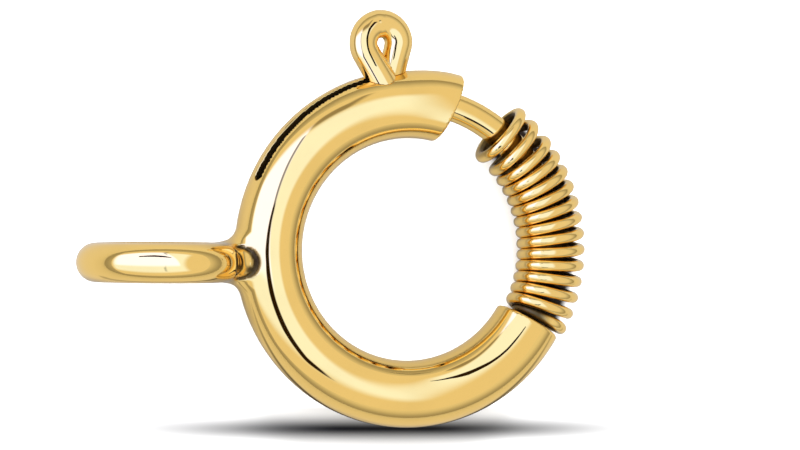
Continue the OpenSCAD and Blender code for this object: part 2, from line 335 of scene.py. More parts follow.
def cell_quads(inside, cell):
    """A quad round every edge of the grid that the surface crosses, with its corners in the cells there."""
    index = np.full([n - 1 for n in inside.shape], -1, dtype=np.int64)
    index[tuple(cell.T)] = np.arange(len(cell))
    quads = []
    for axis in range(3):
        u, v = (axis + 1) % 3, (axis + 2) % 3
        first, second = [slice(None)] * 3, [slice(None)] * 3
        first[axis], second[axis] = slice(0, -1), slice(1, None)
        a, b = inside[tuple(first)], inside[tuple(second)]
        for flip, edge in ((False, a & ~b), (True, ~a & b)):
            spot = np.argwhere(edge)
            quad = []
            for du, dv in ((-1, -1), (0, -1), (0, 0), (-1, 0)):
                c = spot.copy()
                c[:, u] += du
                c[:, v] += dv
                quad.append(index[tuple(c.T)])
            quad = np.stack(quad, 1)
            quads.append(quad[:, ::-1] if flip else quad)
    return np.concatenate(quads)


def slope(distance, p, gap=1e-4):
    """How a distance function grows along x, y and z at each point."""
    grows = np.empty_like(p)
    for axis in range(3):
        d = np.zeros(3)
        d[axis] = gap
        grows[:, axis] = (distance(*(p + d).T) - distance(*(p - d).T)) / (2 * gap)
    return grows


def skin(distance, low, high, step):
    """Closed mesh of quads on the zero surface of a distance function, and its normals."""
    value = sample(distance, low, high, step)
    cell, at = crossed_cells(value)
    quads = cell_quads(value < 0, cell)
    at = np.array(low) + at * step
    for _ in range(4):
        grows = slope(distance, at)
        move = distance(*at.T) / np.maximum((grows * grows).sum(1), 0.2)
        at -= grows * np.clip(move, -0.4 * step, 0.4 * step)[:, None]
    normal = slope(distance, at)
    return at, quads, normal / np.maximum(np.linalg.norm(normal, axis=1), 1e-6)[:, None]


def add_object(name, data):
    obj = bpy.data.objects.new(name, data)
    bpy.context.scene.collection.objects.link(obj)
    return obj


def skin_object(name, lying, distance, shade, low, high, step, material):
    """Piece whose surface is a distance function's, with a mask of where the gold is duller and painted with
    shade.
    """
    at, quads, normal = skin(distance, low, high, step)
    dark = shade(*at.T)
    mesh = bpy.data.meshes.new(name)
    mesh.from_pydata(lying.points(at), [], quads)
    mesh.polygons.foreach_set("use_smooth", np.ones(len(quads), dtype=bool))
    layer = mesh.attributes.new("dull_and_shade_mask", "FLOAT", "POINT")
    layer.data.foreach_set("value", dark.astype(np.float32))
    mesh.materials.append(material)
    mesh.update()
    mesh.normals_split_custom_set_from_vertices(lying.directions(normal))
    return add_object(name, mesh)


class Nodes:
    """Adds nodes to a tree and links them by socket name."""

    def __init__(self, tree):
        self.tree = tree

    def add(self, kind, **values):
        node = self.tree.nodes.new(kind)
        for key, value in values.items():
            setattr(node, key, value)
        return node

    def put(self, socket, value):
        if isinstance(value, bpy.types.NodeSocket):
            self.tree.links.new(value, socket)
        else:
            socket.default_value = value

    def fill(self, node, **values):
        """Sets or links a node's inputs by name, with _ for a space."""
        for key, value in values.items():
            self.put(node.inputs[key.replace("_", " ")], value)
        return node

    def step(self, kind, **values):
        """First output of a new node with the given inputs."""
        return self.fill(self.add(kind), **values).outputs[0]

    def math(self, operation, *values):
        node = self.add("ShaderNodeMath", operation=operation)
        for socket, value in zip(node.inputs, values):
            self.put(socket, value)
        return node.outputs[0]

    def hypot(self, a, b):
        squares = [self.math("MULTIPLY", value, value) for value in (a, b)]
        return self.math("SQRT", self.math("ADD", *squares))

    def ramp(self, value, from_min, from_max, to_min=0.0, to_max=1.0, kind="SMOOTHSTEP"):
        node = self.add("ShaderNodeMapRange", interpolation_type=kind)
        self.fill(node, Value=value, From_Min=from_min, From_Max=from_max, To_Min=to_min, To_Max=to_max)
        return node.outputs["Result"]

    def vector(self, operation, a, b, out="Vector"):
        node = self.add("ShaderNodeVectorMath", operation=operation)
        self.put(node.inputs[0], a)
        self.put(node.inputs["Scale" if operation == "SCALE" else 1], b)
        return node.outputs[out]

    def place(self):
        return self.add("ShaderNodeTexCoord").outputs["Object"]

    def axes(self, place):
        node = self.add("ShaderNodeSeparateXYZ")
        self.put(node.inputs[0], place)
        return node.outputs

    def noise(self, place, scale, detail, roughness=0.5):
        return self.step("ShaderNodeTexNoise", Vector=place, Scale=scale, Detail=detail, Roughness=roughness)

    def group(self, tree, **values):
        return self.fill(self.add("ShaderNodeGroup", node_tree=tree), **values)

    def mix(self, factor, a, b):
        node = self.add("ShaderNodeMix", data_type="RGBA")
        self.put(node.inputs["Factor"], factor)
        colours = [i for i in node.inputs if i.type == "RGBA"]
        self.put(colours[0], a)
        self.put(colours[1], b)
        return [o for o in node.outputs if o.type == "RGBA"][0]


def new_group(name, kind, inputs, outputs):
    """Node group with inputs and outputs that are each a name and a kind."""
    tree = bpy.data.node_groups.new(name, kind)
    for side, given in (("INPUT", inputs), ("OUTPUT", outputs)):
        for key, socket in given:
            tree.interface.new_socket(key, in_out=side, socket_type="NodeSocket" + socket)
    n = Nodes(tree)
    return tree, n, n.add("NodeGroupInput").outputs, n.add("NodeGroupOutput").inputs


def polish_group():
    """Fine polishing marks and smears: a height and a roughness."""
    tree = bpy.data.node_groups.get("Polish")
    if tree:
        return tree
    tree, n, given, result = new_group(
        "Polish", "ShaderNodeTree",
        (("Scale", "Float"), ("Roughness", "Float"), ("Marks", "Float"), ("Hidden", "Float")),
        (("Height", "Float"), ("Roughness", "Float")))
    place = n.place()
    lines = n.noise(n.vector("MULTIPLY", place, (1.0, 6.0, 2.5)), given["Scale"], 6.0, 0.65)
    spread = n.ramp(n.noise(place, 260.0, 3.0), 0.35, 0.75)
    fine = n.ramp(lines, 0.45, 0.75)
    uneven = n.math("ADD", 0.75, n.math("MULTIPLY", spread, 0.9))
    rough = n.math("MULTIPLY", given["Roughness"], uneven)
    rough = n.math("ADD", rough, n.math("MULTIPLY", n.math("MULTIPLY", fine, given["Marks"]), 0.05))
    rough = n.math("ADD", rough, n.math("MULTIPLY", given["Hidden"], 0.35))
    n.put(result["Height"], n.math("MULTIPLY", lines, given["Marks"]))
    n.put(result["Roughness"], rough)
    return tree


def dull_and_shade_group():
    """Gold with a faint random darker tone, darkened to a near-black painted shade, which also stands for
    dull unpolished gold, where the mesh's mask says so.
    """
    tree = bpy.data.node_groups.get("Tarnish")
    if tree:
        return tree
    tree, n, given, result = new_group(
        "Tarnish", "ShaderNodeTree", (("Gold", "Color"), ("Tarnish", "Color"), ("Hidden", "Float")),
        (("Color", "Color"),))
    cloud = n.noise(n.place(), 420.0, 4.0)
    faint = n.math("MULTIPLY", n.ramp(cloud, 0.4, 0.8), 0.05)
    # Painted shade: the mask darkens the gold almost to black in bores, slots, the crease, under the feet and
    # between the coil's turns.
    hidden = n.math("MULTIPLY", given["Hidden"], n.ramp(cloud, 0.2, 0.7, 0.75, 1.0))
    n.put(result["Color"], n.mix(n.math("MAXIMUM", faint, hidden), given["Gold"], given["Tarnish"]))
    return tree


def gold_material(name, base, finish, scale, roughness, hidden=True):
    """Polished gold with fine marks; with hidden set it is rougher and takes painted shade where the mesh's
    mask says so.
    """
    mat = bpy.data.materials.get(name)
    if mat:
        return mat
    mat = bpy.data.materials.new(name)
    mat.use_nodes = True
    n = Nodes(mat.node_tree)
    shade = n.add("ShaderNodeAttribute", attribute_name="dull_and_shade_mask").outputs["Fac"] if hidden else 0.0
    marks = n.group(polish_group(), Scale=scale, Roughness=roughness, Marks=finish.marks, Hidden=shade)
    paint = n.group(dull_and_shade_group(), Gold=(*base, 1.0), Tarnish=(*finish.dull_and_shade_colour, 1.0), Hidden=shade)
    bump = n.step("ShaderNodeBump", Strength=0.12, Distance=0.004 * MM, Height=marks.outputs["Height"])
    n.fill(mat.node_tree.nodes["Principled BSDF"], Metallic=1.0, Roughness=marks.outputs["Roughness"],
           Base_Color=paint.outputs["Color"], Normal=bump)
    return mat


COIL_INPUTS = (
    ("Points", "Int"), ("Sides", "Int"), ("Wire Radius", "Float"), ("Path Radius", "Float"),
    ("Coil Radius", "Float"), ("Start Angle", "Float"), ("Pitch", "Float"), ("First Turn", "Float"),
    ("Last Turn", "Float"), ("Start Round", "Float"), ("End Round", "Float"), ("Free Turns", "Float"),
    ("Shrink Turns", "Float"), ("Seat Path Radius", "Float"), ("Seat Coil Radius", "Float"),
    ("Seat Pitch", "Float"), ("Place", "Vector"), ("Tilt", "Float"), ("Flat Turns", "Float"),
    ("Wide Gap", "Float"), ("Material", "Material"),
)
# The first gap is wider by one Wide Gap, and the later free turns move back by this many in all.
CROWDING = 2.9


def turns_so_far(n, given):
    """Turns wound up to each point of the wire, with more points near the two ends."""
    steps = n.math("SUBTRACT", given["Points"], 1.0)
    step = n.math("DIVIDE", n.add("GeometryNodeInputIndex").outputs[0], steps)
    round_step = n.math("MULTIPLY", step, 2 * math.pi)
    eased = n.math("SUBTRACT", step, n.math("MULTIPLY", n.math("SINE", round_step), 0.985 / (2 * math.pi)))
    span = n.math("SUBTRACT", given["Last Turn"], given["First Turn"])
    return n.math("ADD", given["First Turn"], n.math("MULTIPLY", eased, span))


def place_on_coil(n, given, at):
    """Place of the wire after a number of turns: the free turns first, then the smaller seated ones."""
    past = n.math("SUBTRACT", at, given["Free Turns"])
    shrink = n.ramp(past, 0.0, given["Shrink Turns"])
    caught_up = n.ramp(at, given["Flat Turns"], n.math("ADD", given["Flat Turns"], 0.5))
    free_turns = n.math("MINIMUM", at, given["Free Turns"])
    flat = n.math("MULTIPLY", free_turns, caught_up)
    crowd = n.ramp(free_turns, 2.0, given["Free Turns"], 0.0, -CROWDING)
    wider = n.math("MULTIPLY", given["Wide Gap"], n.math("ADD", n.ramp(at, 1.0, 2.0), crowd))
    free = n.math("ADD", n.math("MULTIPLY", given["Pitch"], flat), wider)
    seat_turns = n.math("MAXIMUM", 0.0, n.math("SUBTRACT", past, given["Shrink Turns"]))
    seated = n.math("MULTIPLY", given["Seat Pitch"], seat_turns)
    angle = n.math("SUBTRACT", n.math("SUBTRACT", given["Start Angle"], free), seated)
    path = n.ramp(shrink, 0.0, 1.0, given["Path Radius"], given["Seat Path Radius"], "LINEAR")
    coil = n.ramp(shrink, 0.0, 1.0, given["Coil Radius"], given["Seat Coil Radius"], "LINEAR")
    winding = n.math("MULTIPLY", at, 2 * math.pi)
    out = n.math("ADD", path, n.math("MULTIPLY", coil, n.math("COSINE", winding)))
    return n.step("ShaderNodeCombineXYZ", X=n.math("MULTIPLY", out, n.math("COSINE", angle)),
                  Y=n.math("MULTIPLY", out, n.math("SINE", angle)),
                  Z=n.math("MULTIPLY", coil, n.math("SINE", winding)))


def rounded_ends(n, given, at):
    """Share of the wire's thickness, which falls to almost nothing at its two round ends."""
    ends = []
    for gone, rounding in ((n.math("SUBTRACT", at, given["First Turn"]), given["Start Round"]),
                           (n.math("SUBTRACT", given["Last Turn"], at), given["End Round"])):
        left = n.math("SUBTRACT", 1.0, n.math("MINIMUM", 1.0, n.math("DIVIDE", gone, rounding)))
        square = n.math("SUBTRACT", 1.0, n.math("MULTIPLY", left, left))
        ends.append(n.math("SQRT", n.math("MAXIMUM", 0.0002, square)))
    return n.math("MULTIPLY", *ends)


def inner_side(n, given):
    """Mask of dull gold and painted shade: 1 on the side of the wire that faces the middle of its coil, 0
    outside.
    """
    x, y, z = n.axes(n.add("GeometryNodeInputPosition").outputs[0])
    from_path = n.hypot(n.math("SUBTRACT", n.hypot(x, y), given["Path Radius"]), z)
    depth = n.math("DIVIDE", n.math("SUBTRACT", given["Coil Radius"], from_path), given["Wire Radius"])
    return n.ramp(depth, 0.1, 0.7)


def coil_tree():
    """Geometry Nodes for a round wire or bar that winds along a part of the ring."""
    tree = bpy.data.node_groups.get("Wound Wire")
    if tree:
        return tree
    tree, n, given, result = new_group(
        "Wound Wire", "GeometryNodeTree", COIL_INPUTS, (("Geometry", "Geometry"),))
    line = n.step("GeometryNodeCurvePrimitiveLine", End=(1.0, 0.0, 0.0))
    points = n.step("GeometryNodeResampleCurve", Curve=line, Count=given["Points"])
    at = turns_so_far(n, given)
    moved = n.step("GeometryNodeSetPosition", Geometry=points, Position=place_on_coil(n, given, at))
    thick = n.step("GeometryNodeSetCurveRadius", Curve=moved, Radius=rounded_ends(n, given, at))
    sides, half = given["Sides"], given["Wire Radius"]
    profile = n.step("GeometryNodeCurvePrimitiveCircle", Resolution=sides, Radius=half)
    wire = n.step("GeometryNodeCurveToMesh", Curve=thick, Profile_Curve=profile, Fill_Caps=True,
                  Scale=n.step("GeometryNodeInputRadius"))
    shaded = n.add("GeometryNodeStoreNamedAttribute", data_type="FLOAT", domain="POINT")
    wire = n.fill(shaded, Geometry=wire, Name="dull_and_shade_mask", Value=inner_side(n, given)).outputs[0]
    tilt = n.step("ShaderNodeCombineXYZ", Y=given["Tilt"])
    laid = n.step("GeometryNodeTransform", Geometry=wire, Translation=given["Place"], Rotation=tilt)
    soft = n.step("GeometryNodeSetShadeSmooth", Geometry=laid)
    real = n.step("GeometryNodeRealizeInstances", Geometry=soft)
    n.put(result["Geometry"], n.step("GeometryNodeSetMaterial", Geometry=real, Material=given["Material"]))
    return tree


# A winding that turns evenly from its first point and has no seat.
EVEN_WINDING = {
    "First Turn": 0.0, "Flat Turns": -1.0, "Shrink Turns": 1.0, "Seat Path Radius": 0.0,
    "Seat Coil Radius": 0.0, "Seat Pitch": 0.0, "Wide Gap": 0.0,
}


def wound_object(name, lying, values):
    """Plain mesh from the wound wire tree with the given inputs; the rest are an even winding's."""
    tree = coil_tree()
    maker = add_object(name + "_maker", bpy.data.meshes.new(name + "_maker"))
    modifier = maker.modifiers.new("Wound Wire", "NODES")
    modifier.node_group = tree
    keys = {item.name: item.identifier for item in tree.interface.items_tree if item.in_out == "INPUT"}
    laid = {"Place": tuple(lying.matrix.translation), "Tilt": lying.matrix.to_euler().y}
    for key, value in {**EVEN_WINDING, **laid, **values}.items():
        modifier[keys[key]] = value
    maker.update_tag()
    bpy.context.view_layer.update()
    evaluated = maker.evaluated_get(bpy.context.evaluated_depsgraph_get())
    mesh = bpy.data.meshes.new_from_object(evaluated)
    mesh.name = name
    maker.modifiers.remove(modifier)
    bpy.data.objects.remove(maker)
    if len(mesh.vertices) < 100:
        raise RuntimeError(name + " came out empty")
    return add_object(name, mesh)


# Steps of the grids that the body and the thumb loop are formed on, and the room left round them.
BODY_STEP, LOOP_STEP, ROOM = 0.105, 0.045, 0.2
# Box round the thumb loop, from its middle, the bolt's path and the clasp's plane.
LOOP_LEFT, LOOP_RIGHT, LOOP_BELOW, LOOP_BEHIND, LOOP_AHEAD = 2.1, 2.3, 0.6, 1.6, 2.6
# Fineness of the polishing marks, in waves a metre.
BODY_MARKS, LOOP_MARKS, WIRE_MARKS = 900.0, 1100.0, 1400.0
# The guard narrows to its seat in this part of a turn, and its seated turns stand this far apart.
NARROWING, SEAT_GAP = 150 / 360, 0.055 * MM
# Room at each end of the return spring, and the pitch of its shortest state in wires.
SPRING_ROOM, SHORTEST_PITCH = 0.05 * MM, 1.05


class CLASP_OT_body(bpy.types.Operator):
    """Builds the hollow ring with its soldered fastening ring"""

    bl_idname = "clasp.body"
    bl_label = "Body"

    def execute(self, context):
        sizes, finish = context.scene.clasp_sizes, context.scene.clasp_finish
        form = ClaspForm(sizes)
        material = gold_material("Polished Gold", finish.gold, finish, BODY_MARKS, finish.polish)
        ring_reach, eye_reach = form.ring_od / 2 + ROOM, form.eye_r + form.eye_wire / 2 + ROOM
        low = (form.eye_x - eye_reach, -ring_reach, -eye_reach)
        high = (ring_reach, ring_reach, eye_reach)
        obj = skin_object("Body", Lying(sizes), form.body, form.body_shade, low, high, BODY_STEP, material)
        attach(obj, "ring")
        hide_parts("clasp_body")
        return {"FINISHED"}


class CLASP_OT_coils(bpy.types.Operator):
    """Winds the guard and the return spring"""

    bl_idname = "clasp.coils"
    bl_label = "Guard and Return Spring"

    def execute(self, context):
        sizes, finish = context.scene.clasp_sizes, context.scene.clasp_finish
        lying = Lying(sizes)
        ring_r = sizes.ring_od / 2 - sizes.tube_d / 2
        guard = wound_object("Guard", lying, {
            "Points": 1150, "Sides": 24, "Wire Radius": sizes.guard_wire / 2,
            "Path Radius": sizes.bolt_r, "Coil Radius": sizes.guard_r,
            "Start Angle": sizes.guard_top - sizes.guard_slip, "Wide Gap": sizes.guard_gap,
            "Pitch": (sizes.guard_top - sizes.guard_low) / sizes.guard_turns,
            "First Turn": -0.47, "Flat Turns": 0.5, "Free Turns": float(sizes.guard_turns),
            "Last Turn": sizes.guard_turns + NARROWING + sizes.seat_turns, "Shrink Turns": NARROWING,
            "Start Round": 0.6 * sizes.guard_wire / 2 / (2 * math.pi * sizes.guard_r),
            "End Round": sizes.guard_wire / 2 / (2 * math.pi * sizes.seat_r),
            "Seat Path Radius": ring_r, "Seat Coil Radius": sizes.seat_r,
            "Seat Pitch": (sizes.guard_wire + SEAT_GAP) / (ring_r - sizes.seat_r),
            "Material": gold_material("Gold Wire", finish.wire_gold, finish, WIRE_MARKS, 1.3 * finish.polish),
        })
        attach(guard, "ring")
        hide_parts("guard_coil")

        inner = ring_r - sizes.spring_r
        room = (sizes.spring_wire / 2 + SPRING_ROOM) / inner
        first, last = sizes.bolt_tail + room, sizes.stop_angle - room
        turns = math.floor((last - first - sizes.travel) / (SHORTEST_PITCH * sizes.spring_wire / inner))
        spring = wound_object("Return_Spring", lying, {
            "Points": 34 * turns, "Sides": 12, "Wire Radius": sizes.spring_wire / 2,
            "Path Radius": ring_r, "Coil Radius": sizes.spring_r, "Start Angle": first,
            "Pitch": -(last - first) / turns, "Last Turn": float(turns), "Free Turns": float(turns),
            "Start Round": 0.02, "End Round": 0.02,
            "Material": gold_material("Spring Wire", finish.spring_gold, finish, WIRE_MARKS, 0.16, False),
        })
        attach(spring, "ring")
        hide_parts("return_spring")
        return {"FINISHED"}


class CLASP_OT_bolt(bpy.types.Operator):
    """Bends the bolt that closes the gate"""

    bl_idname = "clasp.bolt"
    bl_label = "Bolt"

    def execute(self, context):
        sizes, finish = context.scene.clasp_sizes, context.scene.clasp_finish
        tip = sizes.bolt_d / 2 / sizes.bolt_r
        span = sizes.bolt_tail - sizes.bolt_tip + tip
        bolt = wound_object("Bolt", Lying(sizes), {
            "Points": 240, "Sides": 72, "Wire Radius": sizes.bolt_d / 2, "Path Radius": sizes.bolt_r,
            "Coil Radius": 0.0, "Start Angle": sizes.bolt_tail, "Pitch": span, "Last Turn": 1.0,
            "Free Turns": 2.0, "Start Round": 0.2 * tip / span, "End Round": tip / span,
            "Material": gold_material("Bolt Gold", finish.gold, finish, BODY_MARKS, finish.polish, False),
        })
        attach(bolt, "slider")
        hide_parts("bolt")
        return {"FINISHED"}


class CLASP_OT_thumb_loop(bpy.types.Operator):
    """Forms the thumb loop with its shank"""

    bl_idname = "clasp.thumb_loop"
    bl_label = "Thumb Loop"

    def execute(self, context):
        sizes, finish = context.scene.clasp_sizes, context.scene.clasp_finish
        form = ClaspForm(sizes)
        material = gold_material("Thumb Loop Gold", finish.wire_gold, finish, LOOP_MARKS, finish.polish)
        middle = form.head[1] * math.cos(sizes.loop_angle) + form.head[0]
        top = form.head[1] + form.loop_r + form.loop_wire / 2
        low = (middle - LOOP_LEFT, form.bolt_r - LOOP_BELOW, -LOOP_BEHIND)
        high = (middle + LOOP_RIGHT, top + ROOM, LOOP_AHEAD)
        obj = skin_object(
            "Thumb_Loop", Lying(sizes), form.loop, form.loop_shade, low, high, LOOP_STEP, material)
        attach(obj, "slider")
        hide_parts("thumb_loop")
        return {"FINISHED"}


def strip_group():
    """How near a point is to a straight strip: 1 on it, 0 off it."""
    tree = bpy.data.node_groups.get("Strip")
    if tree:
        return tree
    tree, n, given, result = new_group(
        "Strip", "ShaderNodeTree",
        (("Point", "Vector"), ("From", "Vector"), ("To", "Vector"), ("Half From", "Float"),
         ("Half To", "Float"), ("Soft", "Float")),
        (("Mask", "Float"),))
    along = n.vector("SUBTRACT", given["To"], given["From"])
    gone = n.vector("SUBTRACT", given["Point"], given["From"])
    squares = [n.vector("DOT_PRODUCT", other, along, "Value") for other in (gone, along)]
    t = n.math("MINIMUM", 1.0, n.math("MAXIMUM", 0.0, n.math("DIVIDE", *squares)))
    off = n.vector("DISTANCE", gone, n.vector("SCALE", along, t), "Value")
    half = n.ramp(t, 0.0, 1.0, given["Half From"], given["Half To"], "LINEAR")
    n.put(result["Mask"], n.ramp(off, n.math("ADD", half, given["Soft"]), half))
    return tree


# Glow of the light card and of the dark cards and strips.
BASE, CREAM, WHITE, DARK = (
    (*glow, 1.0) for glow in ((0.84, 0.82, 0.80), (1.02, 1.30, 2.3), (1.3, 1.65, 4.4), (0.02, 0.01, 0.0)))
# Half the light card's side and its height over the ring, along the photo's view.
CARD_HALF, CARD_HEIGHT = 42.0 * MM, 18.0 * MM
# Dark strips on the light card, in millimetres: points with half widths, softness and strength.
STRIPS = (
    (((-6.9, 3.6, 0.5), (-8.1, -1.0, 1.2), (-8.4, -6.0, 1.6), (-7.6, -11.0, 1.8), (-5.5, -15.2, 1.5),
      (0.5, -16.2, 0.6)), 0.9, 1.0),
    (((-6.7, 3.4, 0.3), (-8.3, 11.0, 0.3), (-9.4, 18.5, 0.3)), 0.8, 0.8),
    (((-6.0, 24.0, 2.0), (2.0, 25.0, 2.6), (5.0, 33.0, 2.6)), 3.5, 0.62),
)
# Small dark cards close over the gold, in millimetres: height, flattest and steepest ray that they
# stop as cosines, and points with half widths.
NEAR_STRIPS = (
    (10.4, 0.0, 0.85, ((-17.0, 2.0, 0.1), (-15.0, 2.15, 0.3), (-13.0, 2.2, 0.5), (-11.8, 1.9, 0.4),
                       (-10.8, 1.4, 0.1))),
    (3.0, 0.0, 1.01, ((3.4, 4.0, 0.2), (4.2, 3.2, 0.6), (4.35, 2.3, 0.8))),
    (3.4, 0.7, 1.01, ((-0.9, 9.1, 0.2), (-1.1, 10.1, 0.28), (-1.3, 10.8, 0.28), (-1.25, 11.6, 0.28),
                      (-0.7, 12.5, 0.3), (0.3, 12.95, 0.25), (0.9, 12.9, 0.1))),
    (3.0, 0.6, 1.01, ((2.3, -4.8, 0.05), (3.09, -4.72, 0.22), (3.52, -4.77, 0.34), (4.0, -4.82, 0.4),
                      (4.47, -4.72, 0.33), (5.0, -4.66, 0.27), (5.52, -4.45, 0.24), (5.9, -4.17, 0.22),
                      (6.17, -3.79, 0.2), (6.64, -3.2, 0.1))),
)
# The small cards let rays pass that lean further to the left than this, as a cosine.
LEFT_LEAN = 0.4


def ray_share(n, axis):
    """Cosine between an axis and the way back along the ray that meets the surface."""
    return n.vector("DOT_PRODUCT", n.add("ShaderNodeNewGeometry").outputs["Incoming"], axis, "Value")


def hang(card, at, view):
    """Turns a card square to the photo's view and leaves it to mirrored rays only."""
    card.matrix_world = Matrix.Translation(at) @ view.to_4x4()
    card.visible_camera = card.visible_diffuse = card.visible_shadow = False


def empty_material(name):
    """New material without nodes."""
    mat = bpy.data.materials.new(name)
    mat.use_nodes = True
    mat.node_tree.nodes.clear()
    return mat, Nodes(mat.node_tree)


def card_material(right):
    """White glow on the left, cream in the middle and dark strips, for rays of some leans."""
    mat, n = empty_material("Light Card")
    point = n.vector("SCALE", n.place(), 1 / MM)
    x, y, _ = n.axes(point)

    def window(value, low, high, soft_low, soft_high):
        return n.math("MULTIPLY", n.ramp(value, low - soft_low, low), n.ramp(value, high + soft_high, high))

    lean = n.math("ADD", x, n.math("MULTIPLY", y, 0.16))
    white = n.math("MULTIPLY", window(lean, -30.0, -6.2, 10.0, 1.2), window(y, -1.5, 18.0, 4.0, 9.0))
    cream = n.math("MULTIPLY", window(x, -34.0, 10.0, 8.0, 5.0), window(y, -11.0, 16.0, 9.0, 7.0))
    share = ray_share(n, right)
    light = n.mix(n.math("MULTIPLY", cream, n.ramp(share, -0.68, -0.54)), BASE, CREAM)
    light = n.mix(white, light, WHITE)
    seen = n.math("MULTIPLY", n.ramp(share, -0.22, -0.12), n.ramp(share, 0.5, 0.4))
    for points, soft, strength in STRIPS:
        mask = None
        for a, b in zip(points, points[1:]):
            strip = n.group(strip_group(), Point=point, From=(a[0], a[1], 0.0), To=(b[0], b[1], 0.0),
                            Half_From=a[2], Half_To=b[2], Soft=soft).outputs["Mask"]
            mask = strip if mask is None else n.math("MAXIMUM", mask, strip)
        light = n.mix(n.math("MULTIPLY", n.math("MULTIPLY", mask, seen), strength), light, DARK)
    n.fill(n.add("ShaderNodeOutputMaterial"), Surface=n.step("ShaderNodeEmission", Color=light))
    return mat


def light_card(ring, view):
    """Glowing card that only the gold mirrors."""
    mesh = bpy.data.meshes.new("Light_Card")
    corners = [(x * CARD_HALF, y * CARD_HALF, 0) for x, y in ((-1, -1), (-1, 1), (1, 1), (1, -1))]
    mesh.from_pydata(corners, [], [(0, 1, 2, 3)])
    mesh.materials.append(card_material(view.col[0]))
    card = add_object("Light_Card", mesh)
    hang(card, ring + view.col[2] * CARD_HEIGHT, view)


def near_card_material(toward, right, flattest, steepest):
    """Dark glow that stops only rays at a slope between two bounds that don't lean far to the left."""
    mat, n = empty_material("Near Card")
    slant = n.math("ABSOLUTE", ray_share(n, toward))
    seen = n.math("MULTIPLY", n.math("GREATER_THAN", slant, flattest), n.math("LESS_THAN", slant, steepest))
    seen = n.math("MULTIPLY", seen, n.math("LESS_THAN", ray_share(n, right), LEFT_LEAN))
    choice = n.add("ShaderNodeMixShader")
    looks = (seen, n.step("ShaderNodeBsdfTransparent"), n.step("ShaderNodeEmission", Color=DARK))
    for socket, look in zip(choice.inputs, looks):
        n.put(socket, look)
    n.fill(n.add("ShaderNodeOutputMaterial"), Surface=choice.outputs[0])
    return mat


def near_cards(ring, view):
    """Small cards that only the gold mirrors, by the fastening ring, bolt, thumb loop and lower end."""
    materials = {}
    corners, faces, looks = [], [], []
    for height, *look, line in NEAR_STRIPS:
        for i, (x, y, half) in enumerate(line):
            (ax, ay, _), (bx, by, _) = line[max(i - 1, 0)], line[min(i + 1, len(line) - 1)]
            side = Vector((ay - by, bx - ax)).normalized() * half
            corners += [(x + side.x, y + side.y, height), (x - side.x, y - side.y, height)]
            if i:
                k = len(corners)
                faces.append((k - 4, k - 3, k - 1, k - 2))
                looks.append(tuple(look))
    mesh = bpy.data.meshes.new("Near_Cards")
    mesh.from_pydata([tuple(c * MM for c in corner) for corner in corners], [], faces)
    for face, look in zip(mesh.polygons, looks):
        if look not in materials:
            materials[look] = len(mesh.materials)
            mesh.materials.append(near_card_material(view.col[2], view.col[0], *look))
        face.material_index = materials[look]
    cards = add_object("Near_Cards", mesh)
    hang(cards, ring, view)


def world_light(scene):
    """White light that the gold mirrors dimmer, and dimmest towards the horizon."""
    world = bpy.data.worlds.new("Studio")
    scene.world = world
    world.use_nodes = True
    n = Nodes(world.node_tree)
    height = n.axes(n.add("ShaderNodeTexCoord").outputs["Generated"])[2]
    mirrored = n.ramp(height, 0.0, 0.5, 0.35, 0.8)
    glossy = n.add("ShaderNodeLightPath").outputs["Is Glossy Ray"]
    light = n.math("ADD", n.math("MULTIPLY", mirrored, glossy),
                   n.math("MULTIPLY", 2.6, n.math("SUBTRACT", 1.0, glossy)))
    n.fill(world.node_tree.nodes["Background"], Color=(1.0, 1.0, 1.0, 1.0), Strength=light)


# The painted shadow below the ring, in metres: its middle, from the ring's middle and its lowest
# side, and half its length and width. Its middle is darker than its edge.
SHADOW_X, SHADOW_Y = -0.6 * MM, -0.11 * MM
SHADOW_HALF_LENGTH, SHADOW_HALF_WIDTH = 20.0 * MM, 0.95 * MM
SHADOW_EDGE, SHADOW_CORE = 0.4, 0.6
# The dark of the guard on the table lies this far to the right of the guard.
GUARD_SHADOW_X = 0.3 * MM
BLACK = (0.0, 0.0, 0.0, 1.0)
# Half the table's side, in metres.
TABLE_HALF = 1.2


def ring_shadow(n, axes, ring, sizes):
    """Share of the long soft shadow below the ring at a point of the table."""
    middle = (ring.x + SHADOW_X, ring.y - sizes.ring_od / 2 + SHADOW_Y)
    halves = (SHADOW_HALF_LENGTH, SHADOW_HALF_WIDTH)
    x, y = (n.math("ABSOLUTE", n.math("DIVIDE", n.math("SUBTRACT", place, at), half))
            for place, at, half in zip(axes, middle, halves))
    edge = n.math("MULTIPLY", n.ramp(x, 1.1, 1.0), n.ramp(y, 1.4, 1.0))
    core = n.math("MULTIPLY", n.ramp(x, 1.0, 0.1), n.ramp(y, 1.0, 0.0))
    return n.math("ADD", n.math("MULTIPLY", edge, SHADOW_EDGE), n.math("MULTIPLY", core, SHADOW_CORE))


def guard_shadow(n, axes, ring, sizes):
    """Share of the dark that follows the guard round the ring at a point of the table."""
    x, y = n.math("SUBTRACT", axes[0], ring.x + GUARD_SHADOW_X), n.math("SUBTRACT", axes[1], ring.y)
    beside = n.math("DIVIDE", n.math("ABSOLUTE", n.math("SUBTRACT", n.hypot(x, y), sizes.bolt_r)), MM)
    angle = n.math("ARCTAN2", y, x)
    along = n.math("MULTIPLY", n.ramp(angle, sizes.guard_low - 0.1, sizes.guard_low),
                   n.ramp(angle, sizes.guard_top - 0.02, sizes.guard_top - 0.1))
    return n.math("MULTIPLY", n.ramp(beside, 1.35, 0.9), along)


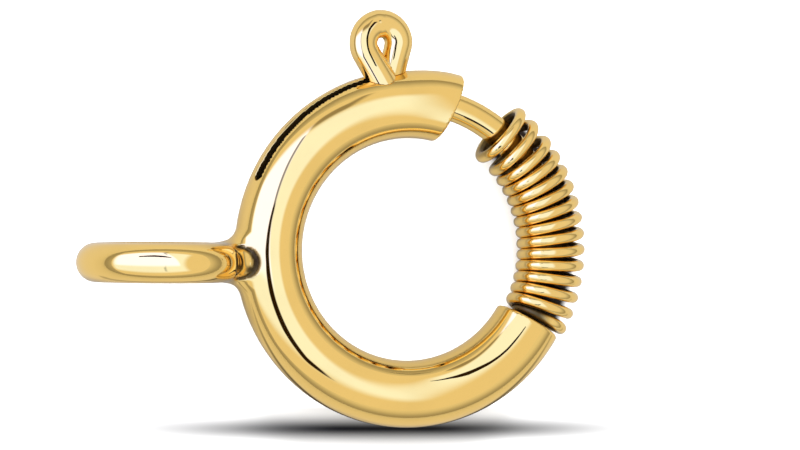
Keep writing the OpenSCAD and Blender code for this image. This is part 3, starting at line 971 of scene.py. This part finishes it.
def table_material(ring, sizes, finish):
    """White table with the painted shadows; the gold mirrors it much darker."""
    mat = bpy.data.materials.new("Table")
    mat.use_nodes = True
    n = Nodes(mat.node_tree)
    place = n.place()
    darker = tuple(0.985 * c for c in finish.table)
    cover = n.mix(n.ramp(n.noise(place, 60.0, 2.0), 0.3, 0.7), (*finish.table, 1.0), (*darker, 1.0))
    axes = n.axes(place)
    cover = n.mix(ring_shadow(n, axes, ring, sizes), cover, BLACK)
    cover = n.mix(guard_shadow(n, axes, ring, sizes), cover, (0.01, 0.006, 0.004, 1.0))
    glossy = n.add("ShaderNodeLightPath").outputs["Is Glossy Ray"]
    cover = n.mix(n.math("MULTIPLY", glossy, 0.75), cover, BLACK)
    n.fill(mat.node_tree.nodes["Principled BSDF"], Base_Color=cover, Roughness=0.6, Specular_IOR_Level=0.2)
    return mat


# Where the photo was taken from, seen from the ring's middle, and how far the picture was rolled.
PHOTO_AZIMUTH, PHOTO_RISE, PHOTO_ROLL = (math.radians(angle) for angle in (9.92, 0.8, 0.23))
# Distance and width of the photo's view, and its middle to the left of and above the ring's.
PHOTO_DISTANCE, PHOTO_WIDTH = 0.9, 0.04033
PHOTO_LEFT, PHOTO_UP = 0.000382, 0.001227


def photo_view():
    """Turn of the photo's view: its columns point right, up and towards the camera."""
    flat = math.cos(PHOTO_RISE)
    toward = Vector((-math.sin(PHOTO_AZIMUTH) * flat, math.sin(PHOTO_RISE), math.cos(PHOTO_AZIMUTH) * flat))
    level = Vector((math.cos(PHOTO_AZIMUTH), 0.0, math.sin(PHOTO_AZIMUTH)))
    right = Matrix.Rotation(PHOTO_ROLL, 3, toward) @ level
    return Matrix((right, toward.cross(right), toward)).transposed()


def key_light():
    """Soft lamp above and behind the clasp, which the gold doesn't mirror."""
    key = bpy.data.lights.new("Key", "AREA")
    key.shape = "DISK"
    key.size = 0.10
    key.energy = 0.9
    light = add_object("Key", key)
    light.location = (0.02, 0.17, 0.22)
    light.rotation_mode = "QUATERNION"
    light.rotation_quaternion = light.location.to_track_quat("Z", "Y")
    light.visible_glossy = False
    light.visible_camera = False


def photo_camera(scene, ring, view):
    """Camera that shows the clasp as the photo does."""
    camera = bpy.data.cameras.new("Camera")
    camera.sensor_width = 36.0
    camera.lens = camera.sensor_width * PHOTO_DISTANCE / PHOTO_WIDTH
    camera.clip_start, camera.clip_end = 0.01, 10.0
    eye = add_object("Camera", camera)
    scene.camera = eye
    right, up, toward = view.col
    eye.location = ring - right * PHOTO_LEFT + up * PHOTO_UP + toward * PHOTO_DISTANCE
    eye.rotation_mode = "QUATERNION"
    eye.rotation_quaternion = view.to_quaternion()


class CLASP_OT_stage(bpy.types.Operator):
    """Sets the table, the lights and the camera"""

    bl_idname = "clasp.stage"
    bl_label = "Stage"

    def execute(self, context):
        scene = context.scene
        sizes, finish = scene.clasp_sizes, scene.clasp_finish
        ring, view = Lying(sizes).matrix.translation, photo_view()
        mesh = bpy.data.meshes.new("Table")
        corners = [(x * TABLE_HALF, y * TABLE_HALF, 0) for x, y in ((-1, -1), (1, -1), (1, 1), (-1, 1))]
        mesh.from_pydata(corners, [], [(0, 1, 2, 3)])
        mesh.materials.append(table_material(ring, sizes, finish))
        table = add_object("Table", mesh)
        world_light(scene)
        light_card(ring, view)
        near_cards(ring, view)
        key_light()
        photo_camera(scene, ring, view)
        scene.view_settings.view_transform = "Standard"
        return {"FINISHED"}


class CLASP_PT_panel(bpy.types.Panel):
    bl_idname = "CLASP_PT_panel"
    bl_label = "Spring Ring Clasp"
    bl_space_type = "VIEW_3D"
    bl_region_type = "UI"
    bl_category = "Clasp"

    def draw(self, context):
        layout = self.layout
        for operator in OPERATORS:
            layout.operator(operator.bl_idname)
        for group in (context.scene.clasp_sizes, context.scene.clasp_finish):
            box = layout.box()
            for key in group.__annotations__:
                box.prop(group, key)


OPERATORS = (CLASP_OT_body, CLASP_OT_coils, CLASP_OT_bolt, CLASP_OT_thumb_loop, CLASP_OT_stage)
CLASSES = (ClaspSizes, ClaspFinish, *OPERATORS, CLASP_PT_panel)


def register():
    for cls in CLASSES:
        bpy.utils.register_class(cls)
    bpy.types.Scene.clasp_sizes = bpy.props.PointerProperty(type=ClaspSizes)
    bpy.types.Scene.clasp_finish = bpy.props.PointerProperty(type=ClaspFinish)


def unregister():
    del bpy.types.Scene.clasp_finish
    del bpy.types.Scene.clasp_sizes
    for cls in reversed(CLASSES):
        bpy.utils.unregister_class(cls)


def main():
    register()
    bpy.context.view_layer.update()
    bpy.ops.clasp.body()
    bpy.ops.clasp.coils()
    bpy.ops.clasp.bolt()
    bpy.ops.clasp.thumb_loop()
    bpy.ops.clasp.stage()


if __name__ == "__main__":
    main()
